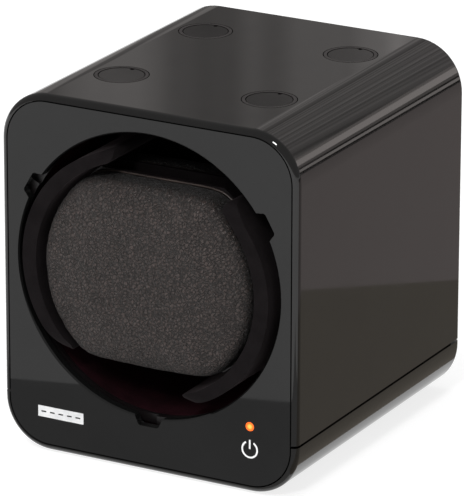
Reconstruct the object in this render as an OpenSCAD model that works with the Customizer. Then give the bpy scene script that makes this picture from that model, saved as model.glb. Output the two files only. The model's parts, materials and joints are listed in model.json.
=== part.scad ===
// Watch winder box: a single stackable winder with a turning cradle and a cushion.
// Drawn with the front panel in the plane y = 0, the depth along +Y and the case's
// underside at z = 0. placed() then moves it to the middle of its base.

/* [Case] */
// Width of the case
case_w = 108; // [106:1:116]
// Depth of the case, front rim to rear rim
case_d = 115.3; // [113:0.1:125]
// Height of the case without its feet
case_h = 121.4; // [119:0.1:130]
// Radius of the four long corners
corner_r = 16.7; // [15:0.1:18]
// Radius of the rounded front rim
nose_r = 2.2; // [1.6:0.1:2.4]
// Radius of the rear rim
back_r = 1.4; // [0.8:0.1:1.6]
// Thickness of the case wall
wall = 2; // [1.8:0.1:2.2]
// Height of the seam between shell and base
seam_z = 18.2; // [17.5:0.1:22]
// Width of the seam's groove
seam_gap = 0.8; // [0.4:0.05:1]
// How far the rubber feet stand out below
foot_proud = 0.5; // [0.4:0.1:1.5]

/* [Front panel] */
// Gap between the front panel and the rim
panel_gap = 0.45; // [0.15:0.05:0.5]
// Thickness of the front panel
panel_t = 3; // [2.5:0.1:3.2]
// Radius of the round opening
open_r = 47.7; // [46.5:0.1:48]
// Height of the opening's centre and of the drum's axis
open_z = 66.2; // [65:0.1:67]
// Chamfer around the opening
open_chamfer = 0.5; // [0.3:0.1:0.8]
// Depth of the three bayonet notches
notch_depth = 3.1; // [2.5:0.1:3.2]
// Width of a notch at the opening
notch_in_w = 10.4; // [9:0.1:12]
// Width of a notch at its outer end
notch_out_w = 7.6; // [6:0.1:9]

/* [Front details] */
// Distance of the light and the power mark from the middle
light_x = 37.1; // [36:0.1:38]
// Height of the status light
light_z = 22.5; // [21:0.1:24]
// Radius of the status light
light_r = 1.5; // [1:0.1:2]
// Height of the power mark's centre
mark_z = 14.7; // [14:0.1:16]
// Outer radius of the power mark
mark_r = 3; // [2.5:0.1:3.2]
// Width of the power mark's stroke
mark_stroke = 0.6; // [0.6:0.1:1.1]
// Width of the name plate
plate_w = 17; // [12:1:20]
// Height of the name plate
plate_h = 3.8; // [3:0.1:5]

/* [Top caps] */
// Distance of the caps from the middle, sideways
cap_x = 27.05; // [25:0.05:28]
// Depth of the front pair of caps
cap_front_y = 30.7; // [28:0.1:33]
// Depth of the rear pair of caps
cap_rear_y = 86.2; // [84:0.1:88]
// Outer radius of the ring around a cap
cap_ring_r = 8.8; // [8.5:0.1:9]
// Radius of a cap
cap_r = 7.4; // [7:0.1:7.5]
// Gap around each cap, and around the ring outside it
cap_gap = 0.3; // [0.15:0.05:0.3]

/* [Drum and cushion] */
// Angle at which the drum stands at rest
drum_angle = -12.6; // [-20:0.1:0]
// How far the cradle arms stand out of the opening
arm_proud = 2.6; // [1:0.1:3]
// Outer radius of an arm's curve
arm_out_r = 40.5; // [40:0.1:41]
// Inner radius of an arm's curve
arm_in_r = 37.9; // [37.8:0.1:38.2]
// Half of the angle that an arm spans, about its own curve
arm_span = 60; // [55:1:62]
// Radius of the cushion's round ends
cushion_r = 38.6; // [37:0.1:38.7]
// Height of the cushion between its flat top and bottom
cushion_h = 62.6; // [55:0.1:64]
// How far the cushion stands out of the opening
cushion_proud = 3.5; // [1:0.1:4]
// Thickness of each leather pad
pad_t = 12.8; // [10:0.1:14]
// Gap between the cushion's two halves
pad_gap = 8; // [7:0.5:9]

/* [Drive] */
// Teeth of the gear on the drum's shaft
drum_teeth = 54; // [54]
// Teeth of the idler's small wheel
idler_small_teeth = 18; // [18]
// Teeth of the idler's large wheel
idler_large_teeth = 40; // [40]
// Teeth of the motor's pinion
pinion_teeth = 16; // [16]
// Module of the drum gear and the idler's small wheel
drum_module = 0.8; // [0.8]
// Module of the pinion and the idler's large wheel
pinion_module = 0.5; // [0.5]
// Radius of the drive shaft
shaft_r = 3; // [2.5:0.1:3.5]
// Radius of the gear motor
motor_r = 10; // [8:0.5:11]

/* [Hidden] */
$fn = 96;
eps = 0.01;
panel_inset = wall + panel_gap;
// Corner screws sit on the diagonal of each case corner
boss_r = 3.3;
boss_reach = 12;
boss_x = case_w / 2 - corner_r + boss_reach * cos(45);
boss_low_z = corner_r - boss_reach * sin(45);
boss_high_z = case_h - corner_r + boss_reach * sin(45);
rear_boss_len = 14;
// Screws, and the holes that they pass through or bite into
screw_r = 1.2;
screw_head_r = 2.2;
pilot_r = 1.22;
through_r = screw_r + 0.15;
small_screw_r = 0.88;
small_pilot_r = 0.9;
small_through_r = 1.1;
// Lip of the base inside the shell
lip_front = 8.4;
lip_rear = case_d - 6.4;
lip_inset = 1;
lip_down = 2;
lip_up = 1.6;
lip_slack = 0.4;
// Feet
foot_r = 7.9;
foot_sink = 1.2;
foot_pad_r = 10;
foot_pad_t = 3.2;
// Sockets under the caps
socket_depth = 7;
socket_floor = 6;
socket_flange_w = 1.6;
socket_flange_t = 1.2;
contact_r = 1.5;
cap_sink = 0.1;
cap_disc_t = 1.3;
cap_skirt = 4.6;
cap_wall = 1.4;
pry_r = 0.7;
// Depths from the front panel backwards
board_front_y = 5;
flange_y = 6.8;
flange_t = 1.2;
front_boss_end = 20;
tub_floor_y = 54;
tub_t = 1.2;
tub_hole_r = 6;
liner_r = 49.3;
liner_screw_at = 30;
ring_y = 5.6;
ring_in_r = 48.3;
ring_out_r = 51.5;
// Cushion, front to back
cushion_front = -cushion_proud;
plate_t = 1.5;
front_plate_y = cushion_front + pad_t;
rear_plate_y = front_plate_y + plate_t + pad_gap;
rear_pad_y = rear_plate_y + plate_t;
post_x = 20;
post_r = 3;
pin_r = 1.75;
spring_coils = 5;
spring_wire = 0.8;
spring_r = 4.4;
// Drum and drive, front to back
arm_front = -arm_proud;
arm_corner = 7;
arm_in_shift = 2;
arm_out_shift = 4.5;
arm_mid_r = (arm_in_r + arm_out_r) / 2;
arm_mid_shift = (arm_in_shift + arm_out_shift) / 2;
arm_nose = 2;
arm_end = arm_mid_r * sin(arm_span) + arm_nose;
drum_plate_y = 48.5;
drum_plate_t = 3;
drum_plate_r = 47.4;
bearing_y = tub_floor_y + tub_t + 0.4;
bearing_t = 2.5;
gear_y = 63.5;
gear_t = 5;
wheel_y = 70;
wheel_t = 3;
bridge_y = 75;
bridge_t = 2;
shaft_end = 80;
running = 0.05;
idler_turn = -130;
motor_turn = -160;
mesh_slack = 0.08;
idler_dist = drum_module * (drum_teeth + idler_small_teeth) / 2 + mesh_slack;
motor_dist = pinion_module * (idler_large_teeth + pinion_teeth) / 2 + mesh_slack;
idler_x = idler_dist * cos(idler_turn);
idler_z = open_z + idler_dist * sin(idler_turn);
motor_x = idler_x + motor_dist * cos(motor_turn);
motor_z = idler_z + motor_dist * sin(motor_turn);
idler_pin_r = 1.5;
motor_shaft_r = 1;
motor_screw_x = 7;
gearbox_len = 10;
can_len = 12;
hub_r = 9;
arm_screw_turn = 30;
bush_r = 5;
bush_flange_r = 6.5;
gear_hub_r = 6.5;
magnet_r = 1.5;
magnet_at = 17;
// Rear of the case
board_y = 101;
board_t = 1.6;
board_w = 78;
board_low = 7;
board_high = 30;
cover_t = 2.5;
cover_recess = 1.2;
cover_y = case_d - cover_recess - cover_t;
jack_x = -30;
jack_z = 16;
jack_bore_r = 2.8;
switch_x = 0;
selector_x = 28;
switch_travel = 2;
switch_slot_w = 10;
switch_slot_h = 3.2;
dial_r = 6.4;
dot_r = 0.45;
dot_depth = 0.3;
selector_r = 3.8;
vents = 7;
vent_w = 40;
vent_h = 1.6;
vent_pitch = 4;
vent_low = 74;
touch_w = 9.6;
touch_z = 9;
touch_h = 17;
led_t = 0.9;
plate_x = -32.6;
plate_z = 13.5;
plate_sink = 0.35;
plate_proud = 0.15;
bar_w = 1.8;
bar_h = 0.5;
bar_pitch = 3.2;
bar_depth = 0.12;
light_fit = 0.03;
mark_open = 30;
mark_t = 0.2;
cap_spots = [[-cap_x, cap_front_y], [cap_x, cap_front_y], [-cap_x, cap_rear_y], [cap_x, cap_rear_y]];
pillar_spots = [[-36, -14], [36, -14], [-36, 24], [36, 24]];
pillar_r = 3;
pillar_mid_z = open_z + 2;
frame_w = 82;
frame_h = 70;

// Placement and shared shapes

module placed() {
    translate([0, -(case_d - cushion_proud) / 2, foot_proud]) children();
}

// Extrudes a shape drawn in x and z along the depth, from y0 to y1
module deep(y0, y1) {
    translate([0, y1, 0]) rotate([90, 0, 0]) linear_extrude(y1 - y0) children();
}

// Turns a profile drawn in radius and depth about the axis through x and z
module turned(x, z) {
    translate([x, 0, z]) rotate([-90, 0, 0]) rotate_extrude() children();
}

module rod(x, z, r, y0, y1) {
    translate([x, y0, z]) rotate([-90, 0, 0]) cylinder(h = y1 - y0, r = r);
}

module rounded_rect(w, h, r) {
    square([w - 2 * r, h], center = true);
    square([w, h - 2 * r], center = true);
    for (sx = [-1, 1], sy = [-1, 1]) {
        translate([sx * (w / 2 - r), sy * (h / 2 - r)]) circle(r);
    }
}

// The case's outline, drawn inset by some distance
module case_outline(inset) {
    translate([0, case_h / 2])
        rounded_rect(case_w - 2 * inset, case_h - 2 * inset, corner_r - inset);
}

// Half of a bar's section: from the axis to w, with round front and rear edges
module edged_half(w) {
    translate([0, nose_r]) square([w, case_d - nose_r - back_r]);
    square([w - nose_r, nose_r + eps]);
    translate([w - nose_r, nose_r]) circle(nose_r);
    translate([0, case_d - back_r - eps]) square([w - back_r, back_r + eps]);
    translate([w - back_r, case_d - back_r]) circle(back_r);
}

module edged_bar(w) {
    edged_half(w);
    mirror([1, 0]) edged_half(w);
}

// The whole outside of the case: two crossed bars and four round corner pillars
module case_solid() {
    translate([0, 0, corner_r]) linear_extrude(case_h - 2 * corner_r) edged_bar(case_w / 2);
    translate([corner_r - case_w / 2, 0, case_h / 2]) rotate([0, 90, 0])
        linear_extrude(case_w - 2 * corner_r) edged_bar(case_h / 2);
    for (sx = [-1, 1], z = [corner_r, case_h - corner_r]) {
        turned(sx * (case_w / 2 - corner_r), z) intersection() {
            edged_half(corner_r);
            square([corner_r, case_d]);
        }
    }
}

module case_tube() {
    difference() {
        case_solid();
        deep(-1, case_d + 1) case_outline(wall);
    }
}

// A block that covers the case between two heights
module layer(z0, z1) {
    translate([-case_w, -10, z0]) cube([2 * case_w, case_d + 20, z1 - z0]);
}

module corner_boss(z, y0, y1, hole_r) {
    for (sx = [-1, 1]) {
        difference() {
            rod(sx * boss_x, z, boss_r, y0, y1);
            rod(sx * boss_x, z, hole_r, y0 - 1, y1 + 1);
        }
    }
}

// A screw along the depth: the head starts at head_y and points away from the tip
module depth_screw(x, z, head_y, tip_y, r, head_r, head_t) {
    toward = head_y > tip_y ? 1 : -1;
    top_y = head_y + toward * head_t;
    slot_y = head_y + toward * head_t * 0.75 - head_t * 0.25;
    slot_w = 0.5;
    rod(x, z, r, min(head_y, tip_y), max(head_y, tip_y));
    difference() {
        rod(x, z, head_r, min(head_y, top_y), max(head_y, top_y));
        translate([x - head_r * 0.65, slot_y, z - slot_w / 2])
            cube([head_r * 1.3, head_t * 0.5 + eps, slot_w]);
        translate([x - slot_w / 2, slot_y, z - head_r * 0.65])
            cube([slot_w, head_t * 0.5 + eps, head_r * 1.3]);
    }
}

// Gear outline with involute flanks

function involute_deg(a) = tan(a) * 180 / PI - a;
function flank(n, m, r) = 90 / n + involute_deg(20)
    - involute_deg(acos(min(1, m * n / 2 * cos(20) / r)));
function on_circle(r, a) = [r * cos(a), r * sin(a)];
function tooth_points(n, m, slack, c) =
    let (pitch = m * n / 2, base = pitch * cos(20), tip = pitch + 0.9 * m, root = pitch - 1.2 * m,
        low = max(base, root + 0.05),
        radii = [low, (low + pitch) / 2, pitch, (pitch + tip) / 2, tip],
        angles = [for (r = radii) flank(n, m, r) - slack / pitch * 90 / PI])
    concat([on_circle(root, c - angles[0])],
        [for (i = [0:4]) on_circle(radii[i], c - angles[i])],
        [for (i = [4:-1:0]) on_circle(radii[i], c + angles[i])],
        [on_circle(root, c + angles[0])]);

// A gear wheel with one tooth centred on the angle given
module gear_outline(n, m, turn) {
    polygon([for (i = [0:n - 1]) each tooth_points(n, m, 0.12, turn + 360 * i / n)]);
}

// Case

module upper_shell() {
    color("#1c1b1b") placed() difference() {
        union() {
            intersection() {
                case_tube();
                layer(seam_z + seam_gap / 2, case_h + 5);
            }
            corner_boss(boss_high_z, flange_y + flange_t, front_boss_end, through_r);
            corner_boss(boss_high_z, cover_y - rear_boss_len, cover_y, pilot_r);
            // stops behind the liner's flange
            for (sx = [-1, 1]) {
                translate([sx * (case_w / 2 - wall - 0.35) - 0.4, flange_y + flange_t, open_z - 8])
                    cube([0.8, 6, 16]);
            }
        }
        // rebate for the base's lip
        deep(lip_front - lip_slack, lip_rear + lip_slack) intersection() {
            difference() {
                case_outline(lip_inset - 0.1);
                case_outline(wall + 0.5);
            }
            translate([-case_w, 0]) square([2 * case_w, seam_z + lip_up + lip_slack]);
        }
        for (s = cap_spots) {
            translate([s.x, s.y, case_h - wall - 3]) cylinder(h = wall + 5, r = cap_ring_r + cap_gap);
        }
    }
}

module base_tray() {
    color("#1c1b1b") placed() difference() {
        union() {
            intersection() {
                case_tube();
                layer(-1, seam_z - seam_gap / 2);
            }
            // lip that reaches up inside the shell
            deep(lip_front, lip_rear) intersection() {
                difference() {
                    case_outline(lip_inset);
                    case_outline(wall);
                }
                translate([-case_w, seam_z - lip_down]) square([2 * case_w, lip_down + lip_up]);
            }
            corner_boss(boss_low_z, flange_y + flange_t, front_boss_end, through_r);
            corner_boss(boss_low_z, cover_y - rear_boss_len, cover_y, pilot_r);
            for (s = cap_spots) {
                translate([s.x, s.y, 0]) cylinder(h = foot_pad_t, r = foot_pad_r);
            }
        }
        for (s = cap_spots) {
            translate([s.x, s.y, -1]) cylinder(h = 1 + foot_sink, r = foot_r + 0.1);
        }
    }
}

module notch_outline(turn) {
    r = 1.3;
    reach = open_r + notch_depth;
    rotate(turn) {
        polygon([[open_r - 3, -notch_in_w / 2], [open_r - 0.3, -notch_in_w / 2],
            [reach - r, -notch_out_w / 2 - 0.35], [reach - r, notch_out_w / 2 + 0.35],
            [open_r - 0.3, notch_in_w / 2], [open_r - 3, notch_in_w / 2]]);
        translate([reach - 2 * r, -notch_out_w / 2 + r]) square([2 * r, notch_out_w - 2 * r]);
        for (s = [-1, 1]) {
            translate([reach - r, s * (notch_out_w / 2 - r + 0.3)]) circle(r);
        }
    }
}

module front_panel() {
    color("#232323") placed() difference() {
        union() {
            deep(0, panel_t) case_outline(panel_inset);
            intersection() {
                union() {
                    corner_boss(boss_low_z, panel_t - eps, flange_y, pilot_r);
                    corner_boss(boss_high_z, panel_t - eps, flange_y, pilot_r);
                }
                deep(0, flange_y) case_outline(panel_inset);
            }
        }
        turned(0, open_z) polygon([[0, -1], [open_r + open_chamfer + 1, -1], [open_r, open_chamfer],
            [open_r, panel_t + 1], [0, panel_t + 1]]);
        for (turn = [30, 150, 270]) {
            deep(-1, panel_t + 1) translate([0, open_z]) notch_outline(turn);
        }
        rod(light_x, light_z, light_r + light_fit, -1, panel_t + 1);
        translate([plate_x - plate_w / 2 - 0.05, -1, plate_z - plate_h / 2 - 0.05])
            cube([plate_w + 0.1, 1 + plate_sink, plate_h + 0.1]);
        deep(-1, mark_t) power_outline(light_fit);
    }
}

// A ring open at the top with a bar in the opening
module power_outline(grow) {
    half = mark_open - grow * 20;
    translate([light_x, mark_z]) {
        difference() {
            circle(mark_r + grow);
            circle(mark_r - mark_stroke - grow);
            polygon([[0, 0], [-4 * sin(half), 4 * cos(half)], [4 * sin(half), 4 * cos(half)]]);
        }
        translate([-mark_stroke / 2 - grow, 0.2 - grow])
            square([mark_stroke + 2 * grow, mark_r + 0.1 + 2 * grow]);
    }
}

module power_mark() {
    color("white") placed() deep(0, mark_t) power_outline(0);
}

module name_plate() {
    color("silver") placed() difference() {
        translate([plate_x - plate_w / 2, -plate_proud, plate_z - plate_h / 2])
            cube([plate_w, plate_sink + plate_proud, plate_h]);
        for (i = [-2:2]) {
            translate([plate_x + i * bar_pitch - bar_w / 2, -1, plate_z - bar_h / 2])
                cube([bar_w, 1 - plate_proud + bar_depth, bar_h]);
        }
    }
}

module status_lens() {
    color("orange") placed() {
        rod(light_x, light_z, light_r, 0, panel_t);
        rod(light_x, light_z, light_r + 0.6, panel_t, panel_t + 0.8);
    }
}

module rear_cover() {
    color("#202020") placed() difference() {
        deep(cover_y, cover_y + cover_t) case_outline(panel_inset);
        for (sx = [-1, 1], z = [boss_low_z, boss_high_z]) {
            rod(sx * boss_x, z, through_r, cover_y - 1, cover_y + cover_t + 1);
            rod(sx * boss_x, z, screw_head_r + 0.2, cover_y + 1, cover_y + cover_t + 1);
        }
        rod(jack_x, jack_z, 3.45, cover_y - 1, cover_y + cover_t + 1);
        translate([switch_x - switch_slot_w / 2, cover_y - 1, jack_z - switch_slot_h / 2])
            cube([switch_slot_w, cover_t + 2, switch_slot_h]);
        rod(selector_x, jack_z, selector_r + 0.3, cover_y - 1, cover_y + cover_t + 1);
        // marks around the selector and the three switch positions
        for (a = [-135, -90, -45, 0, 45, 90, 135]) {
            rod(selector_x + dial_r * sin(a), jack_z + dial_r * cos(a), dot_r,
                cover_y + cover_t - dot_depth, cover_y + cover_t + 1);
        }
        for (x = [-switch_travel, 0, switch_travel]) {
            rod(switch_x + x, jack_z + 4, dot_r, cover_y + cover_t - dot_depth, cover_y + cover_t + 1);
        }
        for (i = [0:vents - 1]) {
            translate([-vent_w / 2, cover_y - 1, vent_low + vent_pitch * i])
                cube([vent_w, cover_t + 2, vent_h]);
        }
    }
}

module drum_liner() {
    color("#1a0f14") placed() difference() {
        union() {
            deep(flange_y, flange_y + flange_t) case_outline(wall + 0.3);
            rod(0, open_z, liner_r + tub_t, flange_y, tub_floor_y + tub_t);
        }
        rod(0, open_z, liner_r, flange_y - 1, tub_floor_y);
        rod(0, open_z, tub_hole_r, tub_floor_y - 1, tub_floor_y + tub_t + 1);
        for (sx = [-1, 1], z = [boss_low_z, boss_high_z]) {
            rod(sx * boss_x, z, through_r, flange_y - 1, flange_y + flange_t + 1);
        }
        liner_screw_spots() rod(0, 0, small_through_r, tub_floor_y - 1, tub_floor_y + tub_t + 1);
        // way for the ribbon cable
        translate([light_x - 4, flange_y - 1, 0]) cube([6.5, flange_t + 2, 6]);
    }
}

module liner_screw_spots() {
    for (a = [45:90:315]) {
        translate([liner_screw_at * cos(a), 0, open_z + liner_screw_at * sin(a)]) children();
    }
}

// Ring with a step beside each notch
module bayonet_ring() {
    color("#151515") placed() {
        deep(ring_y, flange_y - 0.05) translate([0, open_z]) difference() {
            circle(ring_out_r);
            circle(ring_in_r);
        }
        for (turn = [30, 150, 270]) {
            deep(panel_t + 1, ring_y) translate([0, open_z]) intersection() {
                difference() {
                    circle(ring_out_r);
                    circle(ring_in_r);
                }
                polygon([[0, 0], 60 * [cos(turn + 1), sin(turn + 1)],
                    60 * [cos(turn + 16), sin(turn + 16)]]);
            }
        }
    }
}

module rubber_feet() {
    color("#101010") placed() for (s = cap_spots) {
        translate([s.x, s.y, -foot_proud]) difference() {
            cylinder(h = foot_proud + foot_sink - 0.05, r = foot_r);
            translate([0, 0, -1]) cylinder(h = 1.3, r = 4.5);
        }
    }
}

module panel_screws() {
    color("silver") placed() for (sx = [-1, 1], z = [boss_low_z, boss_high_z]) {
        depth_screw(sx * boss_x, z, front_boss_end, panel_t + 0.5, screw_r, screw_head_r, 1.8);
    }
}

module cover_screws() {
    color("silver") placed() for (sx = [-1, 1], z = [boss_low_z, boss_high_z]) {
        depth_screw(sx * boss_x, z, cover_y + 1, cover_y - 10, screw_r, screw_head_r, 1.3);
    }
}

// Top sockets and caps

module cap_sockets() {
    color("#2a2828") placed() for (s = cap_spots) {
        translate([s.x, s.y, case_h]) difference() {
            union() {
                translate([0, 0, -socket_depth]) cylinder(h = socket_depth, r = cap_ring_r);
                translate([0, 0, -wall - socket_flange_t - 0.05])
                    cylinder(h = socket_flange_t, r = cap_ring_r + socket_flange_w);
            }
            translate([0, 0, -socket_floor]) cylinder(h = socket_depth, r = cap_r + cap_gap);
            translate([0, 0, -socket_depth - 1]) cylinder(h = 3, r = contact_r + 0.05);
        }
    }
}

module socket_contacts() {
    color("gold") placed() for (s = cap_spots) {
        translate([s.x, s.y, case_h - socket_depth - 0.5]) cylinder(h = 1.9, r = contact_r);
        translate([s.x, s.y, case_h - socket_floor]) difference() {
            cylinder(h = 0.4, r = 5.5);
            translate([0, 0, -1]) cylinder(h = 2, r = 3.6);
        }
    }
}

// A cap: a flat disc, a skirt that drops into the socket and a pry notch
module top_cap(spot) {
    color("#232222") placed() translate([spot.x, spot.y, case_h]) difference() {
        union() {
            translate([0, 0, -cap_sink - cap_disc_t]) cylinder(h = cap_disc_t, r = cap_r);
            translate([0, 0, -cap_skirt]) cylinder(h = cap_skirt - cap_disc_t, r = cap_r - 0.3);
        }
        translate([0, 0, -cap_skirt - 0.4])
            cylinder(h = cap_skirt + 0.4 - cap_sink - cap_disc_t, r = cap_r - cap_wall);
        translate([0, cap_r - 0.5, -0.9]) cylinder(h = 1, r = pry_r);
    }
}

module cap_front_left() { top_cap(cap_spots[0]); }
module cap_front_right() { top_cap(cap_spots[1]); }
module cap_rear_left() { top_cap(cap_spots[2]); }
module cap_rear_right() { top_cap(cap_spots[3]); }

// Drum

// Plan of one arm, about the drum's axis
module arm_plan() {
    intersection() {
        difference() {
            translate([arm_out_shift, 0]) circle(arm_out_r);
            translate([arm_in_shift, 0]) circle(arm_in_r);
        }
        translate([arm_mid_shift, 0]) polygon([[0, 0], 70 * [cos(arm_span), -sin(arm_span)],
            [120, 0], 70 * [cos(arm_span), sin(arm_span)]]);
    }
    for (s = [-1, 1]) {
        translate([arm_mid_shift + arm_mid_r * cos(arm_span), s * arm_mid_r * sin(arm_span)])
            circle(arm_nose);
    }
}

// Side view of an arm: a tab with round front corners
module arm_side() {
    high = 40;
    difference() {
        translate([arm_front, -high]) square([drum_plate_y - arm_front, 2 * high]);
        for (s = [-1, 1]) {
            translate([arm_front + arm_corner, s * (arm_end - arm_corner)]) difference() {
                translate([-arm_corner - 1, s > 0 ? 0 : -arm_corner - 10])
                    square([arm_corner + 1, arm_corner + 10]);
                circle(arm_corner);
                translate([0, -20]) square([20, 40]);
            }
        }
    }
}

module arm(turn) {
    placed() translate([0, 0, open_z]) rotate([0, -turn, 0]) difference() {
        intersection() {
            deep(arm_front, drum_plate_y) arm_plan();
            translate([-10, 0, 0]) rotate([90, 0, 90]) linear_extrude(70) arm_side();
        }
        for (a = [-arm_screw_turn, arm_screw_turn]) {
            rod(arm_mid_shift + arm_mid_r * cos(a), arm_mid_r * sin(a), small_pilot_r,
                drum_plate_y - 9, drum_plate_y + 1);
        }
    }
}

module right_arm() { color("#1a1718") arm(drum_angle); }
module left_arm() { color("#1a1718") arm(drum_angle + 180); }

module drum_plate() {
    color("#171415") placed() difference() {
        union() {
            rod(0, open_z, drum_plate_r, drum_plate_y, drum_plate_y + drum_plate_t);
            rod(0, open_z, hub_r, drum_plate_y, tub_floor_y - 0.5);
        }
        rod(0, open_z, 1.4, drum_plate_y - 1, tub_floor_y);
        rod(0, open_z, shaft_r, drum_plate_y + 1.5, tub_floor_y);
        arm_screw_spots() rod(0, 0, small_through_r, drum_plate_y - 1, drum_plate_y + drum_plate_t + 1);
    }
}

module arm_screw_spots() {
    for (turn = [drum_angle, drum_angle + 180], a = [-arm_screw_turn, arm_screw_turn]) {
        translate([0, 0, open_z]) rotate([0, -turn, 0])
            translate([arm_mid_shift + arm_mid_r * cos(a), 0, arm_mid_r * sin(a)]) children();
    }
}

module arm_screws() {
    back = drum_plate_y + drum_plate_t;
    color("silver") placed() arm_screw_spots()
        depth_screw(0, 0, back, back - 11, small_screw_r, 1.8, 1.2);
}

module hub_screw() {
    color("silver") placed()
        depth_screw(0, open_z, drum_plate_y, drum_plate_y + 9, 1.24, 2.8, 2);
}

// Cushion

// Front view of the cushion: a disc cut flat at the top and the bottom
module cushion_plan(inset) {
    intersection() {
        circle(cushion_r - inset);
        square([3 * cushion_r, cushion_h - 2 * inset], center = true);
    }
}

module cushion_front_pad() {
    color("#3c3635") placed()
        deep(cushion_front, front_plate_y) translate([0, open_z]) cushion_plan(0);
}

module cushion_front_plate() {
    color("#262223") placed() {
        deep(front_plate_y, front_plate_y + plate_t) translate([0, open_z]) cushion_plan(0.3);
        for (sx = [-1, 1]) {
            rod(sx * post_x, open_z, pin_r, front_plate_y + plate_t - eps, rear_plate_y - 1.2);
        }
    }
}

module cushion_rear_plate() {
    color("#262223") placed() difference() {
        union() {
            deep(rear_plate_y, rear_pad_y) translate([0, open_z]) cushion_plan(0.3);
            for (sx = [-1, 1]) {
                rod(sx * post_x, open_z, post_r, rear_plate_y - 2.6, rear_plate_y + eps);
            }
        }
        for (sx = [-1, 1]) {
            rod(sx * post_x, open_z, pin_r + running, rear_plate_y - 3, rear_pad_y + 1);
        }
    }
}

// The pins sink into the rear pad when the cushion is squeezed
module cushion_rear_pad() {
    color("#3c3635") placed() difference() {
        deep(rear_pad_y, rear_pad_y + pad_t) translate([0, open_z]) cushion_plan(0);
        for (sx = [-1, 1]) {
            rod(sx * post_x, open_z, pin_r + 0.3, rear_pad_y - 1, rear_pad_y + 4);
        }
    }
}

// Coil spring swept along a helix
module coil(r, wire, length, turns) {
    sides = 8;
    steps = turns * 16;
    function ring(i) = let (a = 360 * turns * i / steps, y = wire / 2 + (length - wire) * i / steps)
        [for (k = [0:sides - 1]) let (b = 360 * k / sides, q = r + wire / 2 * cos(b))
            [q * cos(a), y + wire / 2 * sin(b), q * sin(a)]];
    points = [for (i = [0:steps]) each ring(i)];
    sides_faces = [for (i = [0:steps - 1], k = [0:sides - 1]) let (n = (k + 1) % sides)
        [i * sides + k, i * sides + n, (i + 1) * sides + n, (i + 1) * sides + k]];
    first = [for (k = [sides - 1:-1:0]) k];
    last = [for (k = [0:sides - 1]) steps * sides + k];
    polyhedron(points, concat(sides_faces, [first], [last]), convexity = 6);
}

module cushion_springs() {
    color("silver") placed() for (sx = [-1, 1]) {
        translate([sx * post_x, front_plate_y + plate_t + 0.02, open_z])
            coil(spring_r, spring_wire, pad_gap - 0.04, spring_coils);
    }
}

// Drive

module drive_shaft() {
    color("silver") placed() difference() {
        rod(0, open_z, shaft_r - eps, drum_plate_y + 1.5, shaft_end);
        rod(0, open_z, 1.25, drum_plate_y, drum_plate_y + 12);
        turned(0, open_z) translate([shaft_r - 0.4, shaft_end - 1.7]) square([1, 0.9]);
    }
}

module ring_at(y0, y1, r_in, r_out) {
    deep(y0, y1) translate([0, open_z]) difference() {
        circle(r_out);
        circle(r_in);
    }
}

module shaft_washer() {
    color("silver") placed() ring_at(shaft_end - 2.4, shaft_end - 1.9, shaft_r + 0.1, 5.4);
}

module shaft_clip() {
    color("#555555") placed() difference() {
        ring_at(shaft_end - 1.6, shaft_end - 0.9, shaft_r - 0.35, 5);
        translate([-1.6, shaft_end - 3, open_z - 7]) cube([3.2, 4, 6]);
    }
}

module drum_gear() {
    color("ivory") placed() difference() {
        union() {
            deep(gear_y, gear_y + gear_t) translate([0, open_z])
                gear_outline(drum_teeth, drum_module, idler_turn);
            rod(0, open_z, gear_hub_r, gear_y - 1, gear_y + gear_t + 2);
        }
        rod(0, open_z, shaft_r + eps, gear_y - 2, gear_y + gear_t + 3);
        for (a = [0:60:300]) {
            rod(13 * cos(a), open_z + 13 * sin(a), 3.6, gear_y - 2, gear_y + gear_t + 3);
        }
        rod(0, open_z + magnet_at + 0.4, magnet_r + eps, gear_y - 1, gear_y + 2);
    }
}

module index_magnet() {
    color("#8c8c90") placed() rod(0, open_z + magnet_at + 0.4, magnet_r, gear_y, gear_y + 2);
}

module frame_outline() {
    translate([0, open_z - 1]) rounded_rect(frame_w, frame_h, 6);
}

module bearing_plate() {
    color("#3a3a3c") placed() difference() {
        deep(bearing_y, bearing_y + bearing_t) frame_outline();
        rod(0, open_z, bush_r + 0.02, bearing_y - 1, bearing_y + 4);
        rod(idler_x, idler_z, idler_pin_r + 0.01, bearing_y + 0.8, bearing_y + 4);
        liner_screw_spots() rod(0, 0, small_pilot_r, bearing_y - 1, bearing_y + 4);
    }
}

module rear_bridge() {
    color("#3a3a3c") placed() difference() {
        deep(bridge_y, bridge_y + bridge_t) frame_outline();
        rod(0, open_z, bush_r + 0.02, bridge_y - 1, bridge_y + 3);
        rod(idler_x, idler_z, idler_pin_r + 0.01, bridge_y - 1, bridge_y + 3);
        rod(motor_x, motor_z, 3, bridge_y - 1, bridge_y + 3);
        for (sx = [-1, 1]) {
            rod(motor_x + sx * motor_screw_x, motor_z, small_through_r, bridge_y - 1, bridge_y + 3);
        }
        for (p = pillar_spots) {
            rod(p.x, pillar_mid_z + p.y, through_r, bridge_y - 1, bridge_y + 3);
        }
    }
}

module frame_pillars() {
    color("silver") placed() for (p = pillar_spots) {
        difference() {
            rod(p.x, pillar_mid_z + p.y, pillar_r, bearing_y + bearing_t, bridge_y);
            rod(p.x, pillar_mid_z + p.y, pilot_r, bridge_y - 9, bridge_y + 1);
        }
    }
}

module frame_screws() {
    color("silver") placed() for (p = pillar_spots) {
        depth_screw(p.x, pillar_mid_z + p.y, bridge_y + bridge_t, bridge_y - 8, screw_r, 2.1, 1.6);
    }
}

module liner_screws() {
    color("silver") placed() liner_screw_spots()
        depth_screw(0, 0, tub_floor_y, bearing_y + 2, small_screw_r, 1.7, 0.9);
}

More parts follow.
